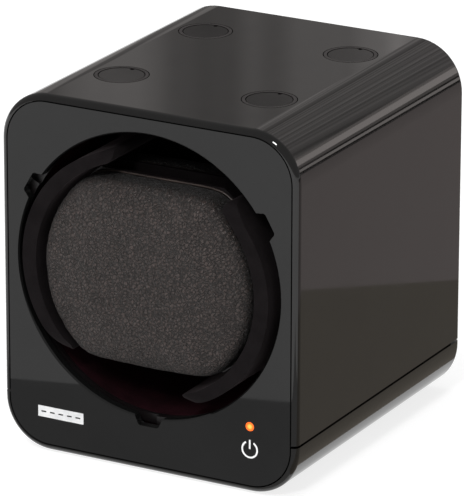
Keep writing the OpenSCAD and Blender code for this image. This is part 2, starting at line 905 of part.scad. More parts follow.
module shaft_bushes() {
    color("#b08d57") placed() {
        ring_at(bearing_y - 0.35, bearing_y + 4.4, shaft_r + running, bush_r);
        ring_at(bearing_y + bearing_t + eps, bearing_y + 3.6, bush_r, bush_flange_r);
        ring_at(bridge_y - 1.8, bridge_y + bridge_t + 0.2, shaft_r + running, bush_r);
        ring_at(bridge_y - 1.8, bridge_y - 0.6, bush_r, bush_flange_r);
    }
}

module idler_pin() {
    color("silver") placed() rod(idler_x, idler_z, idler_pin_r, bearing_y + 0.9, bridge_y + bridge_t);
}

module idler_gear() {
    color("ivory") placed() difference() {
        union() {
            deep(gear_y - 1, wheel_y) translate([idler_x, idler_z])
                gear_outline(idler_small_teeth, drum_module, idler_turn + 180 + 180 / idler_small_teeth);
            deep(wheel_y, wheel_y + wheel_t) translate([idler_x, idler_z])
                gear_outline(idler_large_teeth, pinion_module, motor_turn);
            rod(idler_x, idler_z, 3, gear_y - 3, bridge_y - 0.4);
        }
        rod(idler_x, idler_z, idler_pin_r + running, gear_y - 5, bridge_y + 1);
    }
}

module motor_pinion() {
    color("#b08d57") placed() {
        deep(wheel_y - 0.4, wheel_y + wheel_t + 0.6) translate([motor_x, motor_z])
            gear_outline(pinion_teeth, pinion_module, motor_turn + 180 + 180 / pinion_teeth);
        rod(motor_x, motor_z, motor_shaft_r, wheel_y - 0.4, bridge_y + bridge_t + 6);
    }
}

module motor_gearbox() {
    front = bridge_y + bridge_t;
    color("#9a9a9e") placed() difference() {
        rod(motor_x, motor_z, motor_r, front, front + gearbox_len);
        rod(motor_x, motor_z, motor_shaft_r + running, front - 1, front + 7);
        for (sx = [-1, 1]) {
            rod(motor_x + sx * motor_screw_x, motor_z, small_pilot_r, front - 1, front + 5);
        }
    }
}

module motor_can() {
    front = bridge_y + bridge_t + gearbox_len;
    color("#77777c") placed() {
        rod(motor_x, motor_z, motor_r - 0.5, front, front + can_len);
        rod(motor_x, motor_z, 3, front + can_len, front + can_len + 1);
    }
}

module motor_screws() {
    color("silver") placed() for (sx = [-1, 1]) {
        depth_screw(motor_x + sx * motor_screw_x, motor_z, bridge_y, bridge_y + bridge_t + 4,
            small_screw_r, 1.7, 1.1);
    }
}

module hall_sensor() {
    color("#202020") placed() translate([-2, bearing_y + bearing_t, open_z + magnet_at - 1])
        cube([4, 1.6, 3]);
}

// Electronics

module control_board() {
    color("darkgreen") placed() difference() {
        translate([-board_w / 2, board_y, board_low])
            cube([board_w, board_t, board_high - board_low]);
        rod(-34, 27, 1.4, board_y - 1, board_y + 3);
        rod(34, 27, 1.4, board_y - 1, board_y + 3);
    }
}

module board_chips() {
    color("#151515") placed() {
        translate([-14, board_y - 1.6, 12]) cube([9, 1.6, 9]);
        translate([12, board_y - 1.4, 13]) cube([6, 1.4, 5]);
        for (i = [0:3]) {
            translate([-1 + 3 * i, board_y - 0.8, 23]) cube([1.6, 0.8, 0.9]);
        }
        rod(8, 12, 2, board_y - 6, board_y);
        rod(-22, 24, 2.5, board_y - 7, board_y);
    }
}

module power_jack() {
    color("#111111") placed() difference() {
        union() {
            translate([jack_x - 4.5, board_y + board_t, jack_z - 5.5])
                cube([9, cover_y - board_y - board_t, 11]);
            rod(jack_x, jack_z, 3.4, cover_y - eps, cover_y + cover_t);
        }
        rod(jack_x, jack_z, jack_bore_r, board_y + board_t + 1.5, case_d);
        rod(jack_x, jack_z, 1, board_y + board_t - 1, case_d);
    }
}

module jack_pin() {
    color("silver") placed() rod(jack_x, jack_z, 0.98, board_y + board_t, cover_y - 0.5);
}

module switch_body() {
    color("silver") placed() difference() {
        translate([switch_x - 6, board_y + board_t, jack_z - 3]) cube([12, 5, 6]);
        translate([switch_x - 3.6, board_y + board_t + 1, jack_z - 1.3]) cube([7.2, 5, 2.6]);
    }
}

module direction_switch() {
    color("#151515") placed() translate([switch_x - 1.4, board_y + board_t + 1.1, jack_z - 1.2])
        cube([2.8, cover_y + cover_t - board_y - board_t - 1.3, 2.4]);
}

module selector_body() {
    color("#1c3f7a") placed() difference() {
        rod(selector_x, jack_z, 5.5, board_y + board_t, board_y + board_t + 5);
        rod(selector_x, jack_z, 2.05, board_y + board_t + 1, board_y + board_t + 6);
    }
}

module turns_selector() {
    back = cover_y + cover_t - 0.2;
    color("#d8d8d8") placed() difference() {
        union() {
            rod(selector_x, jack_z, 2, board_y + board_t + 1.1, cover_y - 2);
            rod(selector_x, jack_z, selector_r, cover_y - 2.5, back);
        }
        translate([selector_x - 0.5, back - 1.2, jack_z - 3]) cube([1, 2, 6]);
        rod(selector_x, jack_z + 3.1, 0.35, back - 0.4, back + 1);
    }
}

module touch_board() {
    color("darkgreen") placed()
        translate([light_x - 4.6, board_front_y, touch_z]) cube([touch_w, 0.8, touch_h]);
}

module status_led() {
    color("#fff2d0") placed() translate([light_x - 1, board_front_y - led_t, light_z - 0.8])
        cube([2, led_t, 1.6]);
}

module touch_foam() {
    color("#505050") placed() rod(light_x, mark_z, 2.4, panel_t, board_front_y);
}

// A flat cable along the depth, drawn in y and z as a strip of even thickness
function run(points, i) = let (d = points[i] - points[i - 1]) d / norm(d);
function edge(points, i, t) =
    let (last = len(points) - 1, a = run(points, max(i, 1)), b = run(points, min(i + 1, last)),
        mid = (a + b) / norm(a + b))
    [-mid.y, mid.x] * t / 2 / (mid * a);
module ribbon(x0, w, points, t) {
    last = len(points) - 1;
    translate([x0, 0, 0]) rotate([90, 0, 90]) linear_extrude(w)
        polygon(concat([for (i = [0:last]) points[i] + edge(points, i, t)],
            [for (i = [last:-1:0]) points[i] - edge(points, i, t)]));
}

module ribbon_cable() {
    front = board_front_y + 0.8 + 0.3;
    color("#a0a0a0") placed() ribbon(light_x - 3, 4.5, [[front, 11], [front, 4.6], [front + 3, 3.6],
        [board_y - 4, 3.6], [board_y - 0.3, 8], [board_y - 0.3, 11]], 0.6);
}

module motor_leads() {
    rear = bridge_y + bridge_t + gearbox_len + can_len + 0.3;
    color("firebrick") placed() for (x = [-3, 2]) {
        ribbon(motor_x + x, 1, [[rear, motor_z - 4], [rear, motor_z - 14],
            [board_y - 0.5, board_low + 7]], 0.6);
    }
}

upper_shell();
base_tray();
front_panel();
rear_cover();
drum_liner();
bayonet_ring();
name_plate();
status_lens();
power_mark();
rubber_feet();
panel_screws();
cover_screws();
cap_sockets();
socket_contacts();
cap_front_left();
cap_front_right();
cap_rear_left();
cap_rear_right();
drum_plate();
left_arm();
right_arm();
arm_screws();
hub_screw();
cushion_front_pad();
cushion_front_plate();
cushion_rear_plate();
cushion_rear_pad();
cushion_springs();
drive_shaft();
shaft_washer();
shaft_clip();
drum_gear();
index_magnet();
bearing_plate();
rear_bridge();
frame_pillars();
frame_screws();
liner_screws();
shaft_bushes();
idler_pin();
idler_gear();
motor_pinion();
motor_gearbox();
motor_can();
motor_screws();
hall_sensor();
control_board();
board_chips();
power_jack();
jack_pin();
switch_body();
direction_switch();
selector_body();
turns_selector();
touch_board();
status_led();
touch_foam();
ribbon_cable();
motor_leads();
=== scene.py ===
import json
import math
import bmesh
import bpy
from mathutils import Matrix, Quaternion, Vector, noise


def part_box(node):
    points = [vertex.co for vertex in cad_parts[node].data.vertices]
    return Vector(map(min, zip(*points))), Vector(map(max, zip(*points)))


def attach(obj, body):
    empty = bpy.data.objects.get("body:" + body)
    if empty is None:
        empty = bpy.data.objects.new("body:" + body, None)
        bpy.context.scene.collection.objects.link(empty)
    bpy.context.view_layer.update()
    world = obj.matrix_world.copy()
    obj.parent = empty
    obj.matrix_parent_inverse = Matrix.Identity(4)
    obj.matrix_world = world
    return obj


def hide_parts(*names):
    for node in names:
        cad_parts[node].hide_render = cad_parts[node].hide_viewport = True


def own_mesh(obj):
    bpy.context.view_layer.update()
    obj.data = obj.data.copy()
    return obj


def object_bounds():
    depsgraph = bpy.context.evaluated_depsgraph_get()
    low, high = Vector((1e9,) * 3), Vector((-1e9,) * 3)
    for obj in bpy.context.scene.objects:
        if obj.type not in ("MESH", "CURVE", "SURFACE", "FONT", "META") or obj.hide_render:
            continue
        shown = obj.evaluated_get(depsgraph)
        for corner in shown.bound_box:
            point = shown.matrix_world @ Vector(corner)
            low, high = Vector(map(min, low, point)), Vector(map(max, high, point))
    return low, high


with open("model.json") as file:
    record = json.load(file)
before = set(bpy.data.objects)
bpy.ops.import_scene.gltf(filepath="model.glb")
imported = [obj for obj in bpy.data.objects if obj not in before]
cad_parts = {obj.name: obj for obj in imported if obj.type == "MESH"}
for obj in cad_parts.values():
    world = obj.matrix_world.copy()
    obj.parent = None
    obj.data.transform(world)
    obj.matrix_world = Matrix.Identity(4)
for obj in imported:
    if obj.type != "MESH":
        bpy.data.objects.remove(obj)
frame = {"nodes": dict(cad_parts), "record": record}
nodes = frame["nodes"]
scene = bpy.context.scene
cadBox = [list(corner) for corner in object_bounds()]
caseMiddle = (Vector(cadBox[0]) + Vector(cadBox[1])) / 2
mm = 0.001
print("winder frame loaded:", len(nodes), "nodes")


# Small helpers shared by every finish and piece

def linearColour(hexCode):
    parts = [int(hexCode[i:i + 2], 16) / 255 for i in (1, 3, 5)]
    parts = [c / 12.92 if c <= 0.04045 else ((c + 0.055) / 1.055) ** 2.4 for c in parts]
    return (*parts, 1.0)


def addNode(tree, kind, settings=None, links=None):
    made = tree.nodes.new(kind)
    for key, value in (settings or {}).items():
        if isinstance(key, int) or key in made.inputs:
            made.inputs[key].default_value = value
        else:
            setattr(made, key, value)
    for key, source in (links or {}).items():
        tree.links.new(source, made.inputs[key])
    return made


def newFinish(name):
    finish = bpy.data.materials.new(name)
    finish.use_nodes = True
    tree = finish.node_tree
    shader = tree.nodes["Principled BSDF"]
    place = addNode(tree, "ShaderNodeTexCoord").outputs["Object"]
    return finish, tree, shader, place


def ripple(tree, place, size, detail=2.0, stretch=None):  # noise whose grain is size millimetres
    if stretch:
        place = addNode(tree, "ShaderNodeMapping", {"Scale": stretch}, {"Vector": place}).outputs[0]
    return addNode(tree, "ShaderNodeTexNoise", {"Scale": 1 / (size * mm), "Detail": detail},
                   {"Vector": place}).outputs[0]


def spread(tree, source, low, high, fromLow=0.3, fromHigh=0.7):  # a pattern turned into a range of values
    return addNode(tree, "ShaderNodeMapRange", {"From Min": fromLow, "From Max": fromHigh,
                                                "To Min": low, "To Max": high},
                   {"Value": source}).outputs[0]


def blendColours(tree, factor, first, second):
    ramp = addNode(tree, "ShaderNodeValToRGB", links={"Fac": factor})
    ramp.color_ramp.elements[0].position = 0.3
    ramp.color_ramp.elements[0].color = linearColour(first)
    ramp.color_ramp.elements[1].position = 0.7
    ramp.color_ramp.elements[1].color = linearColour(second)
    return ramp.outputs[0]


def relief(tree, height, depth, under=None):  # depth in millimetres
    links = {"Height": height}
    if under:
        links["Normal"] = under
    return addNode(tree, "ShaderNodeBump", {"Strength": 1.0, "Distance": depth * mm}, links).outputs[0]


# Finishes

def mouldedPlastic(name, look):
    # colour drifts a little over the moulding, the roughness is wiped unevenly, the grain is the tool's
    finish, tree, shader, place = newFinish(name)
    drift = ripple(tree, place, look.get("driftSize", 22), 3.0)
    wipe = ripple(tree, place, look.get("wipeSize", 9), 4.0, look.get("wipeStretch"))
    grain = ripple(tree, place, look["grainSize"], 2.0)
    tree.links.new(blendColours(tree, drift, look["dark"], look["light"]), shader.inputs["Base Color"])
    tree.links.new(spread(tree, wipe, *look["roughness"]), shader.inputs["Roughness"])
    normal = relief(tree, grain, look["grainDepth"])
    if "waveDepth" in look:
        normal = relief(tree, ripple(tree, place, look["waveSize"], 0.0), look["waveDepth"], normal)
    tree.links.new(normal, shader.inputs["Normal"])
    shader.inputs["IOR"].default_value = look.get("ior", 1.5)
    shader.inputs["Specular IOR Level"].default_value = look.get("specular", 0.5)
    return finish


def workedMetal(name, look):
    # plated, turned or brushed metal: fine lines along one direction, and cloudy roughness
    finish, tree, shader, place = newFinish(name)
    lines = ripple(tree, place, look["lineSize"], 3.0, look.get("stretch", (1, 1, 1)))
    cloud = ripple(tree, place, look.get("cloudSize", 3), 3.0)
    colour = blendColours(tree, cloud, look["dark"], look["light"])
    if "inkedNode" in look:
        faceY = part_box(look["inkedNode"])[0].y + look["inkedDepth"] * mm
        depth = addNode(tree, "ShaderNodeSeparateXYZ", links={0: place}).outputs[1]
        sunk = spread(tree, depth, 0.0, 1.0, faceY, faceY + look["inkEdge"] * mm)
        colour = addNode(tree, "ShaderNodeMixRGB", {"Color2": linearColour(look["ink"])},
                         {"Fac": sunk, "Color1": colour}).outputs[0]
    tree.links.new(colour, shader.inputs["Base Color"])
    tree.links.new(spread(tree, lines, *look["roughness"]), shader.inputs["Roughness"])
    tree.links.new(relief(tree, lines, look["lineDepth"]), shader.inputs["Normal"])
    shader.inputs["Metallic"].default_value = look.get("metallic", 1.0)
    return finish


def pebbledLeather(name, look):
    # cells of the embossed grain with creases between them; painted shade darkens the creases, so the tops
    # read paler
    finish, tree, shader, place = newFinish(name)
    bend = ripple(tree, place, look["bendSize"], 2.0)
    moved = addNode(tree, "ShaderNodeMixRGB", {"blend_type": "ADD", "Fac": look["bendShare"]},
                    {"Color1": place, "Color2": bend}).outputs[0]
    cells = addNode(tree, "ShaderNodeTexVoronoi", {"feature": "DISTANCE_TO_EDGE",
                                                   "Scale": 1 / (look["cellSize"] * mm)},
                    {"Vector": moved}).outputs["Distance"]
    pebble = spread(tree, cells, 0.0, 1.0, 0.0, look["creaseWidth"])
    folds = ripple(tree, place, look["foldSize"], 5.0)
    mottle = ripple(tree, place, look["mottleSize"], 4.0)
    base = blendColours(tree, mottle, look["dark"], look["light"])
    # painted shade: the colour is multiplied darker in the creases between the cells
    leatherPaintedShadeColour = addNode(tree, "ShaderNodeMixRGB", {"blend_type": "MULTIPLY", "Fac": look["paintedCreaseShade"]},
                   {"Color1": base, "Color2": pebble}).outputs[0]
    # painted shade: behind the face, over the rolled shoulder, the colour is darkened towards the rim
    depth = addNode(tree, "ShaderNodeSeparateXYZ", links={0: place}).outputs[1]
    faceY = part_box(look["faceNode"])[0].y
    rolled = spread(tree, depth, 1.0, look["paintedRimShade"], faceY + look["rimFrom"] * mm,
                    faceY + look["rimTo"] * mm)
    leatherPaintedShadeColour = addNode(tree, "ShaderNodeMixRGB", {"blend_type": "MULTIPLY", "Fac": 1.0},
                   {"Color1": leatherPaintedShadeColour, "Color2": rolled}).outputs[0]
    tree.links.new(leatherPaintedShadeColour, shader.inputs["Base Color"])
    tree.links.new(spread(tree, pebble, look["roughness"][1], look["roughness"][0], 0.0, 1.0),
                   shader.inputs["Roughness"])
    normal = relief(tree, pebble, look["cellDepth"])
    normal = relief(tree, folds, look["foldDepth"], normal)
    tree.links.new(normal, shader.inputs["Normal"])
    shader.inputs["IOR"].default_value = look["ior"]
    shader.inputs["Specular IOR Level"].default_value = look["specular"]
    shader.inputs["Sheen Weight"].default_value = look["sheen"]
    shader.inputs["Sheen Roughness"].default_value = look["sheenRoughness"]
    return finish


def flockedFelt(name, look):
    # short upright fibres: no gloss, a faint bloom at grazing angles, clumps of pile
    finish, tree, shader, place = newFinish(name)
    pile = ripple(tree, place, look["pileSize"], 4.0)
    clump = ripple(tree, place, look["clumpSize"], 3.0)
    tree.links.new(blendColours(tree, clump, look["dark"], look["light"]), shader.inputs["Base Color"])
    tree.links.new(spread(tree, pile, *look["roughness"]), shader.inputs["Roughness"])
    tree.links.new(relief(tree, pile, look["pileDepth"]), shader.inputs["Normal"])
    shader.inputs["Specular IOR Level"].default_value = look["specular"]
    shader.inputs["Sheen Weight"].default_value = look["sheen"]
    shader.inputs["Sheen Roughness"].default_value = look["sheenRoughness"]
    shader.inputs["Sheen Tint"].default_value = linearColour(look["bloom"])
    return finish


def litLens(name, look):
    # amber acrylic over a small lamp: hot in the middle, deeper orange to the rim
    finish, tree, shader, place = newFinish(name)
    low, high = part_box(look["node"])
    middle = (low + high) / 2
    gap = addNode(tree, "ShaderNodeVectorMath", {"operation": "SUBTRACT", 1: middle},
                  {0: place}).outputs[0]
    flat = addNode(tree, "ShaderNodeVectorMath", {"operation": "MULTIPLY", 1: (1, 0, 1)},
                   {0: gap}).outputs[0]
    reach = addNode(tree, "ShaderNodeVectorMath", {"operation": "LENGTH"}, {0: flat}).outputs["Value"]
    share = spread(tree, reach, 0.0, 1.0, 0.0, look["radius"] * mm)
    glow = blendColours(tree, share, look["core"], look["rim"])
    tree.links.new(glow, shader.inputs["Emission Color"])
    tree.links.new(glow, shader.inputs["Base Color"])
    shader.inputs["Emission Strength"].default_value = look["strength"]
    haze = ripple(tree, place, look["hazeSize"])
    tree.links.new(spread(tree, haze, *look["roughness"]), shader.inputs["Roughness"])
    return finish


def solderMask(name, look):
    # tinned tracks show as paler bands under the green resist
    finish, tree, shader, place = newFinish(name)
    bricks = addNode(tree, "ShaderNodeTexBrick", {"Scale": 1 / (look["trackStep"] * mm),
                                                  "Mortar Size": look["trackWidth"],
                                                  "Color1": linearColour(look["dark"]),
                                                  "Color2": linearColour(look["light"]),
                                                  "Mortar": linearColour(look["track"])})
    turned = addNode(tree, "ShaderNodeMapping", {"Rotation": (math.pi / 2, 0, 0)}, {"Vector": place})
    tree.links.new(turned.outputs[0], bricks.inputs["Vector"])
    tree.links.new(bricks.outputs["Color"], shader.inputs["Base Color"])
    cloud = ripple(tree, place, look["cloudSize"])
    tree.links.new(spread(tree, cloud, *look["roughness"]), shader.inputs["Roughness"])
    tree.links.new(relief(tree, bricks.outputs["Fac"], look["trackDepth"]), shader.inputs["Normal"])
    return finish


finishes = {}

# injection-moulded ABS from a polished tool: mirror gloss with the faint slow waves of a thick moulding
finishes["gloss_black"] = mouldedPlastic("mouldedGlossAbs", {
    "dark": "#0b0a0a", "light": "#100f0e", "roughness": (0.035, 0.075), "grainSize": 1.1,
    "grainDepth": 0.0006, "waveSize": 26, "waveDepth": 0.006, "wipeSize": 12, "ior": 1.5})
# cast acrylic front, flame smooth: a shade greyer than the case in the light
finishes["panel_black"] = mouldedPlastic("polishedAcrylicPanel", {
    "dark": "#101010", "light": "#141414", "roughness": (0.03, 0.06), "grainSize": 1.4,
    "grainDepth": 0.0004, "waveSize": 34, "waveDepth": 0.004, "wipeSize": 14, "ior": 1.49,
    "specular": 0.37})
# ABS from a fine spark-eroded tool: soft broad sheen on the arms and drum
finishes["satin_black"] = mouldedPlastic("mouldedSatinAbs", {
    "dark": "#100d0e", "light": "#161213", "roughness": (0.3, 0.42), "grainSize": 0.5,
    "grainDepth": 0.012, "driftSize": 12, "ior": 1.5})
# arms have a soft-touch lacquer: nearly no gloss, a faint bloom where they turn away
finishes["arm_black"] = flockedFelt("softTouchLacquer", {
    "dark": "#0e0b0c", "light": "#141112", "pileSize": 0.8, "pileDepth": 0.05, "clumpSize": 5,
    "roughness": (0.85, 1.0), "specular": 0.1, "sheen": 0.1, "sheenRoughness": 0.35, "bloom": "#b8a6aa"})
# heavier spark texture on the rear cover: dull and dry
finishes["matt_black"] = mouldedPlastic("sparkTexturedAbs", {
    "dark": "#131314", "light": "#1b1b1c", "roughness": (0.5, 0.66), "grainSize": 0.7,
    "grainDepth": 0.03, "driftSize": 16, "ior": 1.5})
# rayon flock sprayed on the tub: swallows light, wine-tinted where it bends
finishes["flock"] = flockedFelt("sprayedRayonFlock", {
    "dark": "#1a080d", "light": "#2a0f16", "pileSize": 0.6, "pileDepth": 0.12, "clumpSize": 7,
    "roughness": (0.85, 1.0), "specular": 0.1, "sheen": 0.12, "sheenRoughness": 0.35, "bloom": "#6b2a34"})
# embossed PU leather: the pebble tops are smoother and shinier than the creases, and painted shade darkens
# the creases and the rolled rim; the real grain is finer
finishes["leather"] = pebbledLeather("embossedPuLeather", {
    "dark": "#332b28", "light": "#3e3431", "cellSize": 1.15, "cellDepth": 0.3, "creaseWidth": 0.22,
    "foldSize": 1.5, "foldDepth": 0.9, "mottleSize": 5, "bendSize": 1.0, "bendShare": 0.0022,
    "paintedCreaseShade": 0.88, "roughness": (0.3, 0.6), "ior": 1.48, "specular": 0.36, "sheen": 0.06,
    "sheenRoughness": 0.5, "faceNode": "cushion_front_pad", "paintedRimShade": 0.22, "rimFrom": 0.8,
    "rimTo": 4.5})
# the rolled edge is stretched smooth, so it shines more than the grain beside it
finishes["welt"] = mouldedPlastic("stretchedLeatherEdge", {
    "dark": "#302927", "light": "#4a403c", "roughness": (0.3, 0.45), "grainSize": 0.9,
    "grainDepth": 0.02, "driftSize": 6, "ior": 1.48})
finishes["rubber"] = mouldedPlastic("mouldedNitrileRubber", {
    "dark": "#111112", "light": "#1a1a1a", "roughness": (0.7, 0.85), "grainSize": 0.6,
    "grainDepth": 0.03})
# zinc-plated steel screws and pins, turned: faint rings and a cool shine
finishes["steel"] = workedMetal("zincPlatedSteel", {
    "dark": "#9a9c9f", "light": "#b9babd", "roughness": (0.22, 0.38), "lineSize": 0.5, "lineDepth": 0.004})
# brushed stainless badge under clear lacquer: lines run along its length, black ink fills the cut bars
finishes["name_steel"] = workedMetal("brushedStainlessPlate", {
    "dark": "#e2e3e4", "light": "#f4f4f4", "roughness": (0.3, 0.5), "lineSize": 0.35, "lineDepth": 0.003,
    "stretch": (0.06, 1, 1), "cloudSize": 4, "metallic": 0.35, "inkedNode": "name_plate",
    "inkedDepth": 0.06, "inkEdge": 0.02, "ink": "#0c0c0d"})
finishes["bronze"] = workedMetal("sinteredBronze", {
    "dark": "#8a6537", "light": "#b98c50", "roughness": (0.38, 0.6), "lineSize": 0.3, "lineDepth": 0.01})
finishes["gold"] = workedMetal("goldPlatedBrass", {
    "dark": "#c9952f", "light": "#ecc463", "roughness": (0.15, 0.28), "lineSize": 0.6, "lineDepth": 0.003})
finishes["motor_steel"] = workedMetal("drawnSteelCan", {
    "dark": "#7d7e82", "light": "#a1a2a6", "roughness": (0.25, 0.42), "lineSize": 0.5, "lineDepth": 0.004,
    "stretch": (1, 0.1, 1)})
finishes["magnet"] = workedMetal("nickelPlatedMagnet", {
    "dark": "#a5a39d", "light": "#c4c1b8", "roughness": (0.1, 0.2), "lineSize": 0.9, "lineDepth": 0.002})
# acetal gears: milky, waxy
finishes["acetal"] = mouldedPlastic("mouldedAcetal", {
    "dark": "#d9d4c2", "light": "#e8e4d6", "roughness": (0.3, 0.42), "grainSize": 0.8,
    "grainDepth": 0.006, "ior": 1.48})
finishes["frame_plastic"] = mouldedPlastic("glassFilledNylon", {
    "dark": "#2a2a2c", "light": "#3b3b3d", "roughness": (0.45, 0.6), "grainSize": 0.6,
    "grainDepth": 0.02, "ior": 1.53})
finishes["board"] = solderMask("greenSolderMask", {
    "dark": "#0d3b22", "light": "#114a2a", "track": "#2f7a4c", "trackStep": 3.5, "trackWidth": 0.03,
    "trackDepth": 0.02, "cloudSize": 4, "roughness": (0.22, 0.34)})
finishes["chip"] = mouldedPlastic("mouldedEpoxy", {
    "dark": "#141415", "light": "#1d1d1e", "roughness": (0.45, 0.6), "grainSize": 0.4,
    "grainDepth": 0.008})
finishes["lens"] = litLens("amberAcrylicLit", {
    "node": "status_lens", "radius": 1.5, "core": "#ff9a3c", "rim": "#d8560a", "strength": 1.15,
    "hazeSize": 0.5, "roughness": (0.25, 0.4)})
# opaque screen ink under the lacquer
finishes["white_print"] = mouldedPlastic("screenPrintedInk", {
    "dark": "#e6e6e6", "light": "#f4f4f4", "roughness": (0.3, 0.45), "grainSize": 0.4,
    "grainDepth": 0.003})
finishes["foam"] = mouldedPlastic("conductiveFoam", {
    "dark": "#2a2a2a", "light": "#3c3c3c", "roughness": (0.85, 0.95), "grainSize": 0.7,
    "grainDepth": 0.2})
finishes["cable"] = mouldedPlastic("ribbonCablePvc", {
    "dark": "#8f8f92", "light": "#b0b0b2", "roughness": (0.4, 0.5), "grainSize": 1.3,
    "grainDepth": 0.03})
finishes["lead"] = mouldedPlastic("leadPvc", {
    "dark": "#8b1f1a", "light": "#a82a22", "roughness": (0.35, 0.5), "grainSize": 0.8,
    "grainDepth": 0.01})
finishes["switch_blue"] = mouldedPlastic("blueNylonHousing", {
    "dark": "#173a74", "light": "#204a8e", "roughness": (0.4, 0.52), "grainSize": 0.5,
    "grainDepth": 0.008})
# caps are moulded from the same ABS but left semi-gloss, so they read darker than the top
finishes["cap_black"] = mouldedPlastic("mouldedSemiGlossAbs", {
    "dark": "#0c0b0b", "light": "#121111", "roughness": (0.1, 0.16), "grainSize": 0.9,
    "grainDepth": 0.0015, "waveSize": 9, "waveDepth": 0.004, "ior": 1.5, "specular": 0.13})

for material in frame["record"]["materials"]:
    assert material["slot"] in finishes, material["slot"]
for name, piece in nodes.items():
    own = piece.material_slots[0].material.name.split(".")[0]
    own = "cap_black" if name.startswith("cap_front") or name.startswith("cap_rear") else own
    own = "arm_black" if name in ("left_arm", "right_arm") else own
    for used in piece.material_slots:
        used.material = finishes[own]
print("finishes given to every node")


# Cushion pads: leather over foam on a backing plate

# lengths are in millimetres; sink and crown are shares of the pad's thickness
cushion = {"nodes": ("cushion_front_pad", "cushion_rear_pad"), "around": 168, "squareness": 26,
           "shrink": 0.5, "sink": 0.02, "crown": 0.98, "fill": 0.85,
           "voxel": 1.5, "pressure": 4.0, "frames": 20, "reach": 0.7, "held": 1.4,
           "wrinkleDepth": 0.3, "pleats": 26, "pleatRun": 1.6, "pleatReach": 7, "slackScale": 75,
           "slackShare": 0.8, "gluedShare": 0.08,
           "pinNode": "cushion_front_plate", "springNode": "cushion_springs", "pinHole": 2.8, "pinSink": 5,
           "weltRadius": 0.36, "weltInset": 0.4, "weltLift": 1.05}
# how far in from the outline, and how far forward from the plate as a share of the pad's thickness
shoulder = [(1.3, 0.0), (0.5, 0.06), (0.12, 0.16), (0.0, 0.3), (0.0, 0.5), (0.12, 0.64), (0.45, 0.75),
            (1.1, 0.84), (2.1, 0.9), (3.6, 0.94), (6, 0.965), (9.5, 0.98), (14, 0.99), (20, 0.996),
            (27, 0.998)]


def padOutline(angle, radius, half, squareness):  # a disc with flat top and bottom, its corners eased
    flat = half / max(abs(math.sin(angle)), 1e-6)
    return (radius ** -squareness + flat ** -squareness) ** (-1 / squareness)


def stuffedPad(name, settings):
    low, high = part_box(name)
    middle = (low + high) / 2
    radius = (high.x - low.x) / 2
    half = (high.z - low.z) / 2
    forward = -1 if "front" in name else 1
    plateY, faceY = (high.y, low.y) if forward < 0 else (low.y, high.y)
    thick = abs(faceY - plateY)
    mesh = bmesh.new()
    rings = []
    for inset, share in shoulder:
        ring = []
        for step in range(settings["around"]):
            angle = 2 * math.pi * step / settings["around"]
            reach = padOutline(angle, radius, half, settings["squareness"]) - inset * mm
            reach *= 1 - settings["shrink"] * mm / radius
            depth = plateY + forward * thick * (share - settings["sink"])
            spot = (middle.x + reach * math.cos(angle), depth, middle.z + reach * math.sin(angle))
            ring.append(mesh.verts.new(spot))
        rings.append(ring)
    for near, far in zip(rings, rings[1:]):
        for step in range(settings["around"]):
            after = (step + 1) % settings["around"]
            mesh.faces.new((near[step], near[after], far[after], far[step]))
    mesh.faces.new(list(reversed(rings[0])))
    peak = mesh.verts.new((middle.x, plateY + forward * thick * settings["crown"], middle.z))
    for step in range(settings["around"]):
        mesh.faces.new((rings[-1][step], rings[-1][(step + 1) % settings["around"]], peak))
    bmesh.ops.recalc_face_normals(mesh, faces=mesh.faces)
    data = bpy.data.meshes.new("leather_" + name)
    mesh.to_mesh(data)
    mesh.free()
    pad = bpy.data.objects.new("leather_" + name, data)
    scene.collection.objects.link(pad)
    return pad, plateY, forward


def bakeModifiers(piece):
    shown = piece.evaluated_get(bpy.context.evaluated_depsgraph_get())
    baked = bpy.data.meshes.new_from_object(shown)
    old = piece.data
    piece.modifiers.clear()
    piece.data = baked
    bpy.data.meshes.remove(old)


def fillPad(pad, plateY, settings):
    even = pad.modifiers.new("evenMesh", "REMESH")
    even.mode = "VOXEL"
    even.voxel_size = settings["voxel"] * mm
    bakeModifiers(pad)
    start = [v.co.copy() for v in pad.data.vertices]
    held = pad.vertex_groups.new(name="glued")
    glued = [v.index for v in pad.data.vertices if abs(v.co.y - plateY) < settings["held"] * mm]
    held.add(glued, 1.0, "REPLACE")
    cloth = pad.modifiers.new("filling", "CLOTH")
    cloth.settings.use_pressure = True
    cloth.settings.uniform_pressure_force = settings["pressure"]
    cloth.settings.vertex_group_mass = "glued"
    cloth.settings.effector_weights.gravity = 0
    cloth.point_cache.frame_start = 1
    cloth.point_cache.frame_end = settings["frames"]
    for step in range(1, settings["frames"] + 1):
        scene.frame_set(step)
    bakeModifiers(pad)
    scene.frame_set(1)
    pad.vertex_groups.clear()
    for vertex, first in zip(pad.data.vertices, start):
        moved = vertex.co - first
        if moved.length > settings["reach"] * mm:
            vertex.co = first + moved.normalized() * settings["reach"] * mm


def wrinklePad(pad, plateY, settings, low, high):
    # the leather is drawn over the edge, so small pleats run from the sides on to the shoulder
    middle = (low + high) / 2
    thick = high.y - low.y
    normals = [v.normal.copy() for v in pad.data.vertices]
    for vertex, normal in zip(pad.data.vertices, normals):
        offset = vertex.co - middle
        angle = math.atan2(offset.z, offset.x)
        reach = math.hypot(offset.x, offset.z)
        edge = padOutline(angle, (high.x - low.x) / 2, (high.z - low.z) / 2, settings["squareness"])
        near = max(0.0, 1 - (edge - reach) / (settings["pleatReach"] * mm))
        depth = abs(vertex.co.y - plateY) / thick
        if depth < settings["gluedShare"]:
            continue
        pleats = settings["pleats"]
        pleat = noise.noise(Vector((math.cos(angle) * pleats, math.sin(angle) * pleats,
                                    depth * settings["pleatRun"])))
        slack = noise.noise(offset * settings["slackScale"])
        shift = settings["wrinkleDepth"] * (pleat * near + settings["slackShare"] * slack) * mm
        vertex.co += normal * shift
    pad.data.update()


